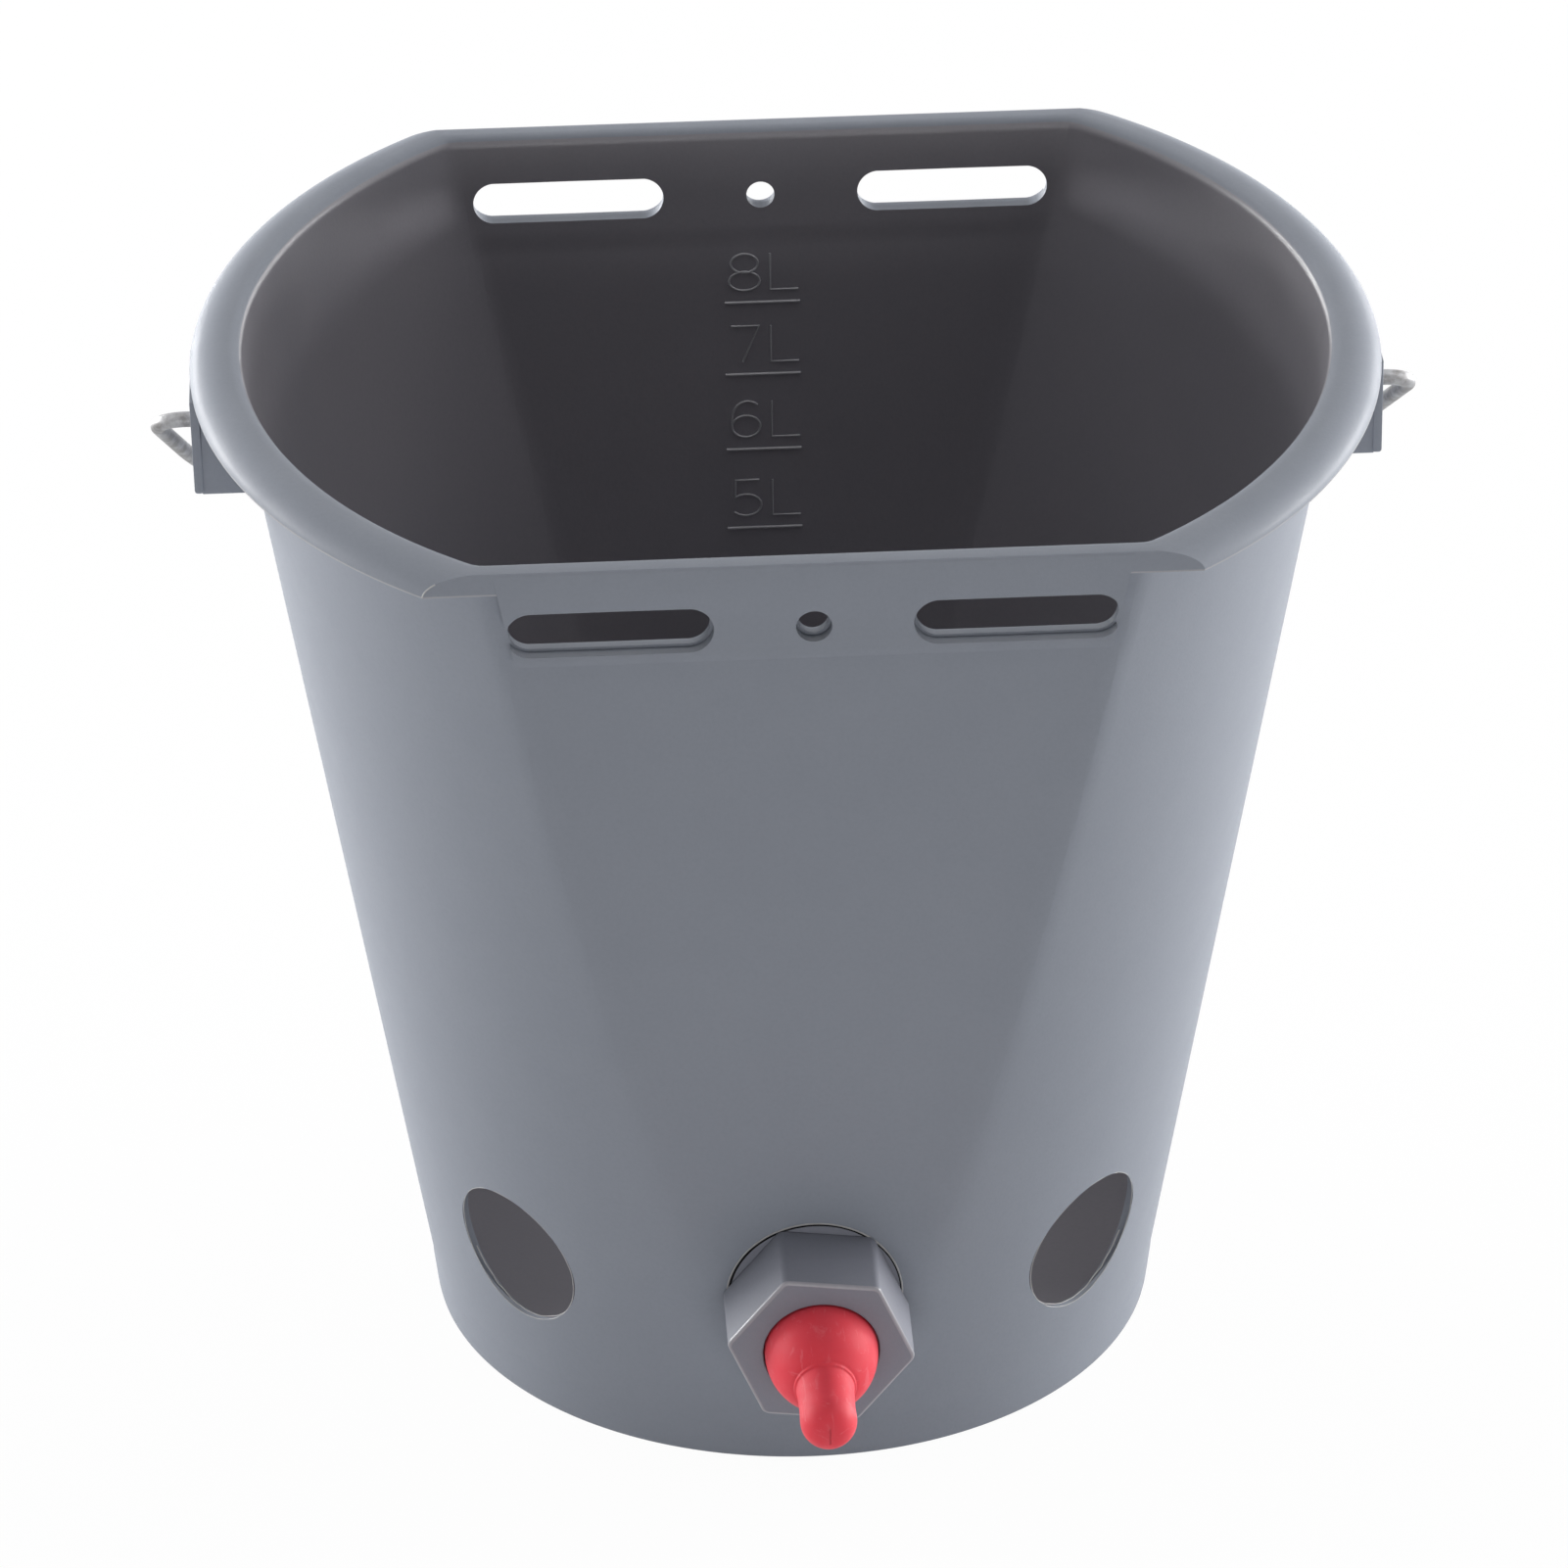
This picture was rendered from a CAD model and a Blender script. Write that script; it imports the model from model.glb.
"""Looks of a calf feeder bucket: moulded shell, wire bail, drinking valve, teat, light and camera.

Sizes are in millimetres in the classes and are turned into metres where a mesh is made. The frame
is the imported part's: the origin is the centre of the foot, +Z is up and the teat points to -Y.
"""

from __future__ import annotations

import logging
from collections.abc import Callable, Iterator, Sequence
from contextlib import contextmanager
from dataclasses import dataclass, field
from enum import Enum
from itertools import pairwise
from math import acos, atan, copysign, cos, degrees, hypot, pi, radians, sin, sqrt, tau

import bpy
from mathutils import Matrix, Vector

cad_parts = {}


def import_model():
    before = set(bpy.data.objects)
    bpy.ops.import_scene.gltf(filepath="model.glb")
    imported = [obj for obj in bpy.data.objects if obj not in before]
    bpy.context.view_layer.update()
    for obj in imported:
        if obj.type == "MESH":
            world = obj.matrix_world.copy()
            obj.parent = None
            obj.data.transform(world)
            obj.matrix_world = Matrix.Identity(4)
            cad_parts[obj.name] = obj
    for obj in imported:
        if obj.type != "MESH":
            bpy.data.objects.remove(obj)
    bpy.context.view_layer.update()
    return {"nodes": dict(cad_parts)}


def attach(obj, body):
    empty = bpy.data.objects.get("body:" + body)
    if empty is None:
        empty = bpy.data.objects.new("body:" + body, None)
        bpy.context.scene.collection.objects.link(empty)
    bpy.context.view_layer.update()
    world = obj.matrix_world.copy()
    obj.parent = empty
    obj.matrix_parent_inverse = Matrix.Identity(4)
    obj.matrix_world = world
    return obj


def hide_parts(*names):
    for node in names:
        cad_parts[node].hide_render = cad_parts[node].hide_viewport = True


MM = 0.001
WHITE = (1, 1, 1, 1)
IMAGE_PX = 1601
log = logging.getLogger("calf_feeder_bucket")

Piece = bpy.types.Object
Socket = bpy.types.NodeSocket
Colour = tuple[float, float, float]
Pairs = list[tuple[float, float]]
Points = Sequence[Sequence[float]]


class Side(Enum):
    """The four sides of the bucket, as turns about +Z from the right side."""

    RIGHT = 0
    REAR = 90
    LEFT = 180
    FRONT = 270

    @property
    def sign(self) -> int:
        """1 for the sides towards +X and +Y, and -1 for the other two."""
        return 1 if self in (Side.RIGHT, Side.REAR) else -1


# Making meshes


def clear_selection() -> None:
    """Leaves edit mode and selects nothing."""
    if bpy.context.object and bpy.context.object.mode != "OBJECT":
        bpy.ops.object.mode_set(mode="OBJECT")
    bpy.ops.object.select_all(action="DESELECT")


def activate(piece: Piece) -> None:
    """Makes a piece the only selected object and the active one.

    Args:
        piece: The piece.
    """
    clear_selection()
    piece.select_set(True)
    bpy.context.view_layer.objects.active = piece


@contextmanager
def edit_mode(piece: Piece, kind: str = "VERT", select: bool = True) -> Iterator[None]:
    """Opens a piece in edit mode for as long as the with block lasts.

    Args:
        piece: The mesh object to edit.
        kind: What is selected: VERT, EDGE or FACE.
        select: Whether all of the mesh is selected at the start, or what was selected before.
    """
    activate(piece)
    bpy.ops.object.mode_set(mode="EDIT")
    bpy.ops.mesh.select_mode(type=kind)
    if select:
        bpy.ops.mesh.select_all(action="SELECT")
    yield
    bpy.ops.object.mode_set(mode="OBJECT")


def select_vertices(piece: Piece, wanted: Callable[[Vector], bool]) -> None:
    """Selects the vertices whose place passes a test, and what they bound.

    Args:
        piece: The mesh object, out of edit mode.
        wanted: The test of a vertex's place, in metres.
    """
    mesh = piece.data
    for vertex in mesh.vertices:
        vertex.select = wanted(vertex.co)
    for part in (*mesh.edges, *mesh.polygons):
        part.select = all(mesh.vertices[i].select for i in part.vertices)


def bevel_edges(
    piece: Piece, wanted: Callable[[Vector, Vector], bool], width: float, segments: int = 4, number: int = -1
) -> None:
    """Bevels the edges of a piece whose two ends pass a test.

    Args:
        piece: The mesh object, out of edit mode.
        wanted: The test of an edge's two ends, in metres.
        width: The bevel's width in millimetres.
        segments: The bevel's rows of faces.
        number: The material number of the new faces, or -1 for their neighbours' one.
    """
    mesh = piece.data
    for part in (*mesh.polygons, *mesh.vertices):
        part.select = False
    for edge in mesh.edges:
        ends = [mesh.vertices[i] for i in edge.vertices]
        edge.select = wanted(ends[0].co, ends[1].co)
        for end in ends:
            end.select = end.select or edge.select
    with edit_mode(piece, "EDGE", select=False):
        bpy.ops.mesh.bevel(offset=width * MM, segments=segments, affect="EDGES", material=number)


def draw_line(name: str, points: Points) -> Piece:
    """Draws a chain of edges by extruding one vertex from point to point.

    Args:
        name: The new object's name.
        points: The places that the line passes, in millimetres.

    Returns:
        The line, as a mesh object with its vertices in the points' order.
    """
    clear_selection()
    bpy.ops.mesh.primitive_plane_add(size=MM)
    line = bpy.context.object
    line.name = name
    places = [Vector(p) * MM for p in points]
    with edit_mode(line):
        bpy.ops.mesh.merge(type="CENTER")
        bpy.ops.transform.translate(value=places[0])
        for start, end in pairwise(places):
            bpy.ops.mesh.extrude_region_move(TRANSFORM_OT_translate={"value": end - start})
    return line


def mend(piece: Piece, distance: float = 1e-6) -> None:
    """Merges doubled vertices, drops what has no area and turns every face outwards.

    Args:
        piece: The mesh object.
        distance: What counts as the same place, in metres.
    """
    with edit_mode(piece):
        bpy.ops.mesh.remove_doubles(threshold=distance)
        bpy.ops.mesh.dissolve_degenerate(threshold=distance)
        bpy.ops.mesh.select_all(action="SELECT")
        bpy.ops.mesh.normals_make_consistent(inside=False)


def spin_profile(
    name: str, points: Points, steps: int = 128, marks: Sequence[float] | None = None
) -> Piece:
    """Spins a profile once round the Z axis into a closed body.

    Args:
        name: The new object's name.
        points: The profile as (radius, height) pairs, in millimetres.
        steps: The number of columns round the axis.
        marks: One number for each point, kept on the vertices as the attribute "mark".

    Returns:
        The new body, with its axis along Z.
    """
    body = draw_line(name, [(p[0], 0, p[1]) for p in points])
    if marks is not None:
        layer = body.data.attributes.new("mark", "FLOAT", "POINT")
        for entry, value in zip(layer.data, marks, strict=True):
            entry.value = value
    with edit_mode(body):
        bpy.ops.mesh.spin(steps=steps, angle=tau, center=(0, 0, 0), axis=(0, 0, 1))
    mend(body)
    return body


def outline_plate(name: str, outline: Points, rise: Sequence[float]) -> Piece:
    """Fills a closed outline and extrudes it into a plate.

    Args:
        name: The new object's name.
        outline: The corners in order, in millimetres.
        rise: How far and which way the outline is extruded, in millimetres.

    Returns:
        The plate.
    """
    plate = draw_line(name, outline)
    with edit_mode(plate):
        bpy.ops.mesh.edge_face_add()
        bpy.ops.mesh.extrude_region_move(TRANSFORM_OT_translate={"value": Vector(rise) * MM})
    mend(plate)
    return plate


def rod(name: str, radius: float, start: Sequence[float], end: Sequence[float], sides: int = 48) -> Piece:
    """Adds a closed round rod between two points, in millimetres.

    Args:
        name: The new object's name.
        radius: Its radius.
        start: The middle of one end.
        end: The middle of the other end.
        sides: The number of its sides.

    Returns:
        The rod.
    """
    a, b = Vector(start) * MM, Vector(end) * MM
    clear_selection()
    bpy.ops.mesh.primitive_cylinder_add(vertices=sides, radius=radius * MM, depth=(b - a).length)
    piece = bpy.context.object
    piece.name = name
    turn = (b - a).to_track_quat("Z", "Y").to_matrix().to_4x4()
    piece.data.transform(Matrix.Translation((a + b) / 2) @ turn)
    return piece


def hexagon(name: str, across: float, low: float, high: float, turn: float = 0.0) -> Piece:
    """Adds a six-sided bar along Z.

    Args:
        name: The new object's name.
        across: The width across its flats, in millimetres.
        low: Where it starts on Z, in millimetres.
        high: Where it ends on Z, in millimetres.
        turn: How far it is turned about Z, in degrees.

    Returns:
        The bar.
    """
    clear_selection()
    bpy.ops.mesh.primitive_cylinder_add(
        vertices=6,
        radius=across / 2 / cos(radians(30)) * MM,
        depth=(high - low) * MM,
        location=(0, 0, (high + low) / 2 * MM),
        rotation=(0, 0, radians(turn)),
    )
    piece = bpy.context.object
    piece.name = name
    bpy.ops.object.transform_apply(location=True, rotation=True, scale=True)
    return piece


def ease(share: float) -> float:
    """A soft step from 0 to 1, held at both ends."""
    share = min(1.0, max(0.0, share))
    return share * share * (3 - 2 * share)


def arc(cx: float, cy: float, rx: float, ry: float, start: float, end: float, steps: int = 14) -> Pairs:
    """Points along part of an ellipse, with the angles in degrees.

    Args:
        cx: The middle's first coordinate.
        cy: The middle's second coordinate.
        rx: The radius along the first.
        ry: The radius along the second.
        start: The first point's angle.
        end: The last point's angle.
        steps: The number of steps between them.

    Returns:
        The points in order, both ends included.
    """
    turns = [radians(start + (end - start) * k / steps) for k in range(steps + 1)]
    return [(cx + rx * cos(t), cy + ry * sin(t)) for t in turns]


def stroke(name: str, points: Points, radius: float, sides: int = 8) -> Piece:
    """Draws a round bead with closed ends along a line.

    Args:
        name: The new object's name.
        points: The places that the bead passes, in millimetres.
        radius: The bead's radius in millimetres.
        sides: How many sides the bead's section has.

    Returns:
        The bead.
    """
    bead = draw_line(name, points)
    if (Vector(points[0]) - Vector(points[-1])).length < 1e-6:
        with edit_mode(bead):
            bpy.ops.mesh.remove_doubles(threshold=1e-6)
    activate(bead)
    bpy.ops.object.convert(target="CURVE")
    curve = bead.data
    curve.dimensions = "3D"
    curve.bevel_depth = radius * MM
    curve.bevel_resolution = max(0, sides // 2 - 2)
    curve.use_fill_caps = True
    bpy.ops.object.convert(target="MESH")
    mend(bead)
    return bead


def apply_modifier(piece: Piece, kind: str, **settings: object) -> None:
    """Adds a modifier with its settings and applies it.

    Args:
        piece: The piece.
        kind: The modifier's type.
        settings: The modifier's attributes.
    """
    activate(piece)
    bpy.ops.object.modifier_add(type=kind)
    modifier = piece.modifiers[-1]
    for key, value in settings.items():
        setattr(modifier, key, value)
    bpy.ops.object.modifier_apply(modifier=modifier.name)


def cut(piece: Piece, cutter: Piece) -> None:
    """Takes a cutter's space out of a piece, and deletes the cutter.

    Args:
        piece: The piece to cut.
        cutter: The closed body whose space is taken out.
    """
    before = len(piece.data.polygons)
    apply_modifier(piece, "BOOLEAN", operation="DIFFERENCE", solver="EXACT", object=cutter)
    if len(piece.data.polygons) == before:
        log.warning("cutting %s with %s changed nothing", piece.name, cutter.name)
    bpy.data.objects.remove(cutter)


def round_edges(piece: Piece, width: float, segments: int = 2, number: int = -1) -> None:
    """Rounds every edge of a piece that is sharper than 35 degrees.

    Args:
        piece: The piece.
        width: The bevel's width in millimetres.
        segments: The bevel's rows of faces.
        number: The material number of the new faces, or -1 for their neighbours' one.
    """
    apply_modifier(
        piece,
        "BEVEL",
        width=width * MM,
        segments=segments,
        limit_method="ANGLE",
        angle_limit=radians(35),
        use_clamp_overlap=True,
        material=number,
        harden_normals=False,
    )


def smooth(piece: Piece, angle: float = 32.0) -> None:
    """Shades a piece smooth, apart from its edges sharper than an angle."""
    activate(piece)
    bpy.ops.object.shade_smooth_by_angle(angle=radians(angle))


def join(name: str, pieces: Sequence[Piece]) -> Piece:
    """Joins meshes into the first of them and renames it.

    Args:
        name: The joined object's name.
        pieces: The meshes to join.

    Returns:
        The joined object.
    """
    activate(pieces[0])
    for piece in pieces:
        piece.select_set(True)
    bpy.ops.object.join()
    pieces[0].name = name
    pieces[0].data.name = name
    return pieces[0]


def paint(piece: Piece, *finishes: Finish) -> None:
    """Gives a piece its finishes, in the order of its faces' material numbers."""
    for finish in finishes:
        piece.data.materials.append(finish.material())


def hand_over(piece: Piece, body: str, nodes: Sequence[str]) -> None:
    """Places a finished piece in the frame.

    Args:
        piece: The finished mesh object, with its materials.
        body: The body that it moves with.
        nodes: The CAD nodes that it replaces.
    """
    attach(piece, body)
    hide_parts(*nodes)
    log.info("%s: %d faces", piece.name, len(piece.data.polygons))


# Finishes


class NodeTree:
    """The nodes of a material or a world, with short calls to add and link them."""

    def __init__(self, owner: bpy.types.ID, output: str = "ShaderNodeOutputMaterial") -> None:
        """Starts an empty node tree.

        Args:
            owner: The new material or world.
            output: The kind of its output node.
        """
        owner.use_nodes = True
        self.owner = owner
        self.nodes = owner.node_tree.nodes
        self.links = owner.node_tree.links
        self.nodes.clear()
        self.output = self.nodes.new(output)

    def add(self, kind: str, **values: object) -> bpy.types.Node:
        """Adds a node.

        Args:
            kind: The node's type.
            values: Attributes of the node, or its inputs with spaces written as underscores. An
                input takes a value or the socket that feeds it.

        Returns:
            The new node.
        """
        node = self.nodes.new(kind)
        for key, value in values.items():
            socket = node.inputs.get(key.replace("_", " "))
            if socket is None or hasattr(node, key):
                setattr(node, key, value)
            elif isinstance(value, Socket):
                self.link(value, socket)
            else:
                socket.default_value = value
        return node

    def link(self, source: Socket, target: Socket) -> None:
        """Links an output to an input."""
        self.links.new(source, target)

    def close(self, surface: Socket) -> bpy.types.ID:
        """Links the last shader to the output, and returns the material or the world."""
        self.link(surface, self.output.inputs["Surface"])
        return self.owner

    def calculate(self, operation: str, a: Socket, b: object) -> Socket:
        """Adds a sum of two values; the second is a socket or a number.

        Args:
            operation: The kind of sum.
            a: The first value.
            b: The second value.

        Returns:
            The result.
        """
        node = self.add("ShaderNodeMath", operation=operation)
        self.link(a, node.inputs[0])
        if isinstance(b, Socket):
            self.link(b, node.inputs[1])
        else:
            node.inputs[1].default_value = b
        return node.outputs[0]

    def noise(
        self, scale: float, detail: float, rough: float, stretch: Sequence[float] = (1, 1, 1), twist: float = 0
    ) -> Socket:
        """Adds noise on the object's own coordinates, with the scale in turns to the metre.

        Args:
            scale: How fine the noise is.
            detail: The number of finer layers.
            rough: The strength of each finer layer against the one before.
            stretch: How the coordinates are stretched first.
            twist: How far the noise is distorted.

        Returns:
            The noise, from 0 to 1.
        """
        where = self.add("ShaderNodeTexCoord")
        mapping = self.add("ShaderNodeMapping", Vector=where.outputs["Object"], Scale=stretch)
        return self.add(
            "ShaderNodeTexNoise",
            Vector=mapping.outputs["Vector"],
            Scale=scale,
            Detail=detail,
            Roughness=rough,
            Distortion=twist,
        ).outputs["Fac"]

    def ramp(self, source: Socket, low: float, high: float, start: float = 0, end: float = 1) -> Socket:
        """Maps a range of a value to another, held at its ends."""
        return self.add(
            "ShaderNodeMapRange", clamp=True, Value=source, From_Min=low, From_Max=high, To_Min=start, To_Max=end
        ).outputs["Result"]

    def spread(self, source: Socket, middle: float, under: float, over: float) -> Socket:
        """Maps a noise to a narrow range round a middle value."""
        return self.ramp(source, 0.3, 0.7, middle - under, middle + over)

    def mix(self, share: Socket, a: object, b: object) -> Socket:
        """Mixes two colours, each a socket or a tuple, by a share.

        Args:
            share: The share of the second colour.
            a: The first colour.
            b: The second colour.

        Returns:
            The mixed colour.
        """
        node = self.add("ShaderNodeMix", data_type="RGBA")
        self.link(share, node.inputs["Factor"])
        for value, socket in ((a, node.inputs[6]), (b, node.inputs[7])):
            if isinstance(value, Socket):
                self.link(value, socket)
            else:
                socket.default_value = (*value, 1)
        return node.outputs[2]

    def bump(self, height: Socket, distance: float, strength: float, under: Socket | None = None) -> Socket:
        """Turns a height into a bump, on top of another bump.

        Args:
            height: The height, from 0 to 1.
            distance: The height that 1 stands for, in metres.
            strength: The share of the bump that is used.
            under: The bump below, if any.

        Returns:
            The bumped normal.
        """
        below = {} if under is None else {"Normal": under}
        node = self.add("ShaderNodeBump", Distance=distance, Strength=strength, Height=height, **below)
        return node.outputs["Normal"]


@dataclass(frozen=True)
class Finish:
    """A finish that pieces share. Its material is made once and kept by its name.

    The name must differ from every material of the frame, which would be found in its place.
    """

    name: str = "finish"

    def material(self) -> bpy.types.Material:
        """Returns the finish's material, which is made at the first call."""
        found = bpy.data.materials.get(self.name)
        return found or self.build(NodeTree(bpy.data.materials.new(self.name)))

    def build(self, tree: NodeTree) -> bpy.types.Material:
        """Makes the material. Each kind of finish has its own way.

        Args:
            tree: The node tree to fill.

        Returns:
            The finished material.
        """
        raise NotImplementedError


@dataclass(frozen=True)
class MouldedPlastic(Finish):
    """Moulded polyethylene or polypropylene: satin, faintly mottled, with a fine skin."""

    colour: Colour = (0.2, 0.22, 0.25)
    cast: Colour = (0.22, 0.23, 0.25)
    roughness: float = 0.6
    sheen_level: float = 0.5
    skin: float = 0.25
    wave: float = 0.15
    gloss: float = 0.22

    def build(self, tree: NodeTree) -> bpy.types.Material:
        """Makes the plastic from slow and fine mottling, a fine skin and slow waves in the wall.

        Args:
            tree: The node tree to fill.

        Returns:
            The finished material.
        """
        cloudy = tree.mix(tree.ramp(tree.noise(14, 4, 0.55), 0.35, 0.65), self.colour, self.cast)
        darker = tuple(0.93 * c for c in self.colour)
        waves = tree.bump(tree.noise(22, 2, 0.4), 0.0006, self.wave)
        shader = tree.add(
            "ShaderNodeBsdfPrincipled",
            Base_Color=tree.mix(tree.ramp(tree.noise(900, 2, 0.6), 0.4, 0.75, 0, 0.45), cloudy, darker),
            Roughness=tree.spread(tree.noise(60, 5, 0.6), self.roughness, 0.035, 0.05),
            Normal=tree.bump(tree.noise(1500, 3, 0.6), 0.00012, self.skin, waves),
            Specular_IOR_Level=self.sheen_level,
            Coat_Weight=self.gloss,
            Coat_Roughness=0.16,
        )
        return tree.close(shader.outputs[0])


@dataclass(frozen=True)
class ZincWire(Finish):
    """Steel wire with a dull zinc coat: dark and pale patches under a fine speckle."""

    colour: Colour = (0.40, 0.405, 0.42)
    dull: Colour = (0.22, 0.215, 0.215)
    pale: Colour = (0.47, 0.475, 0.485)
    roughness: float = 0.46

    def build(self, tree: NodeTree) -> bpy.types.Material:
        """Makes the zinc from slow patches of dull coat and a fine pale speckle.

        Args:
            tree: The node tree to fill.

        Returns:
            The finished material.
        """
        patches = tree.noise(260, 4, 0.6)
        speckle = tree.noise(1800, 3, 0.7)
        tone = tree.mix(tree.ramp(patches, 0.38, 0.66), self.dull, self.colour)
        shader = tree.add(
            "ShaderNodeBsdfPrincipled",
            Base_Color=tree.mix(tree.ramp(speckle, 0.55, 0.8, 0, 0.6), tone, self.pale),
            Roughness=tree.spread(speckle, self.roughness, 0.08, 0.12),
            Normal=tree.bump(speckle, 0.0001, 0.35, tree.bump(patches, 0.0003, 0.3)),
            Metallic=0.62,
        )
        return tree.close(shader.outputs[0])


@dataclass(frozen=True)
class ScuffedRubber(Finish):
    """Soft rubber, matt, with a pale bloom and short light scuffs."""

    colour: Colour = (0.74, 0.042, 0.066)
    bloom: Colour = (0.75, 0.065, 0.09)
    scuff: Colour = (0.88, 0.42, 0.46)
    roughness: float = 0.62
    wear: float = 0.16
    depth: float = 0.4

    def build(self, tree: NodeTree) -> bpy.types.Material:
        """Makes the rubber from bloom, scuffs along several ways and a fine grain.

        Args:
            tree: The node tree to fill.

        Returns:
            The finished material.
        """
        tone = tree.mix(tree.ramp(tree.noise(90, 4, 0.6), 0.42, 0.75, 0, 0.55), self.colour, self.bloom)
        for scale, stretch in ((260, (1, 0.22, 1.6)), (340, (1.7, 0.6, 0.24))):
            marks = tree.ramp(tree.noise(scale, 3, 0.65, stretch, 0.6), 0.60, 0.74, 0, self.wear)
            tone = tree.mix(marks, tone, self.scuff)
        dents = tree.bump(tree.noise(160, 3, 0.5), 0.0003, 0.15)
        shader = tree.add(
            "ShaderNodeBsdfPrincipled",
            Base_Color=tone,
            Roughness=tree.spread(tree.noise(220, 4, 0.6), self.roughness, 0.06, 0.12),
            Normal=tree.bump(tree.noise(2400, 3, 0.6), 0.00008, 0.3, dents),
            Specular_IOR_Level=0.4,
            Subsurface_Weight=self.depth,
            Subsurface_Radius=(1.0, 0.25, 0.25),
            Subsurface_Scale=0.0015,
        )
        return tree.close(shader.outputs[0])


SHELL_PLASTIC = MouldedPlastic("satin_shell", (0.217, 0.236, 0.276), (0.222, 0.241, 0.281), 0.62, gloss=0.04)
INNER_PLASTIC = MouldedPlastic("satin_inside", (0.226, 0.220, 0.246), (0.238, 0.228, 0.252), 0.36, gloss=0.1)
EDGE_PLASTIC = MouldedPlastic("satin_edge", (0.285, 0.290, 0.315), (0.33, 0.33, 0.345), 0.38, 0.5, 0.4, 0.1)
CUT_EDGE = MouldedPlastic("cut_edge", (0.37, 0.365, 0.37), (0.46, 0.455, 0.45), 0.5, 0.5, 0.8, 0.1, 0.0)
MARK_PLASTIC = MouldedPlastic("satin_marks", (0.33, 0.33, 0.36), (0.37, 0.37, 0.39), 0.34, 0.5, 0.2, 0.1)
NUT_PLASTIC = MouldedPlastic("satin_nut", (0.191, 0.202, 0.238), (0.197, 0.199, 0.239), 0.6, 0.5, 0.4, 0.1, 0.04)
NUT_EDGE = MouldedPlastic("satin_nut_edge", (0.268, 0.262, 0.288), (0.30, 0.285, 0.315), 0.38, 0.5, 0.4, 0.1)
VALVE_PLASTIC = MouldedPlastic("satin_valve", (0.158, 0.167, 0.187), (0.164, 0.172, 0.191), 0.6, gloss=0.04)
BALL_PLASTIC = MouldedPlastic("smooth_ball", (0.72, 0.72, 0.69), (0.76, 0.75, 0.72), 0.3, 0.5, 0.1, 0.05)
BAIL_ZINC = ZincWire("bail_zinc")
TEAT_RUBBER = ScuffedRubber("scuffed_teat")
GASKET_RUBBER = ScuffedRubber(
    "black_gasket", (0.012, 0.012, 0.013), (0.022, 0.022, 0.023), (0.05, 0.05, 0.05), 0.7, 0.1, 0.0
)


# The pieces


@dataclass
class Form:
    """The bucket's own shape: a cone with two flat faces that lean out with it."""

    height: float = 281.0
    base_radius: float = 93.5
    slope: float = 46.5 / 274.5
    flat_base: float = 95.75
    flat_slope: float = 18.25 / 274.5
    wall: float = 2.5
    hinge: float = 262.0
    valve_height: float = 54.0

    @property
    def cone_lean(self) -> float:
        """The angle between the round wall and the upright, in radians."""
        return atan(self.slope)

    @property
    def flat_lean(self) -> float:
        """The angle between a flat face and the upright, in radians."""
        return atan(self.flat_slope)

    @property
    def wall_level(self) -> float:
        """The round wall's thickness, measured level."""
        return self.wall / cos(self.cone_lean)

    @property
    def flat_level(self) -> float:
        """A flat face's thickness, measured level."""
        return self.wall / cos(self.flat_lean)

    def radius(self, z: float) -> float:
        """The round wall's outside radius at a height."""
        return self.base_radius + self.slope * z

    def flat(self, z: float) -> float:
        """A flat face's outside distance from the middle at a height."""
        return self.flat_base + self.flat_slope * z

    def flat_point(self, x: float, z: float, out: float, side: Side) -> Vector:
        """A place on a flat face.

        Args:
            x: The place to the side of the middle.
            z: The height.
            out: How far it lies outside the outer surface, measured level.
            side: FRONT or REAR.

        Returns:
            The place in millimetres.
        """
        return Vector((x, side.sign * (self.flat(z) + out), z))

    @property
    def valve_place(self) -> Vector:
        """The place on the front flat face where the valve's hole has its middle."""
        return self.flat_point(0, self.valve_height, 0, Side.FRONT)

    @property
    def valve_axis(self) -> Vector:
        """The outward axis of the front flat face."""
        return Vector((0, -cos(self.flat_lean), -sin(self.flat_lean)))


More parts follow.
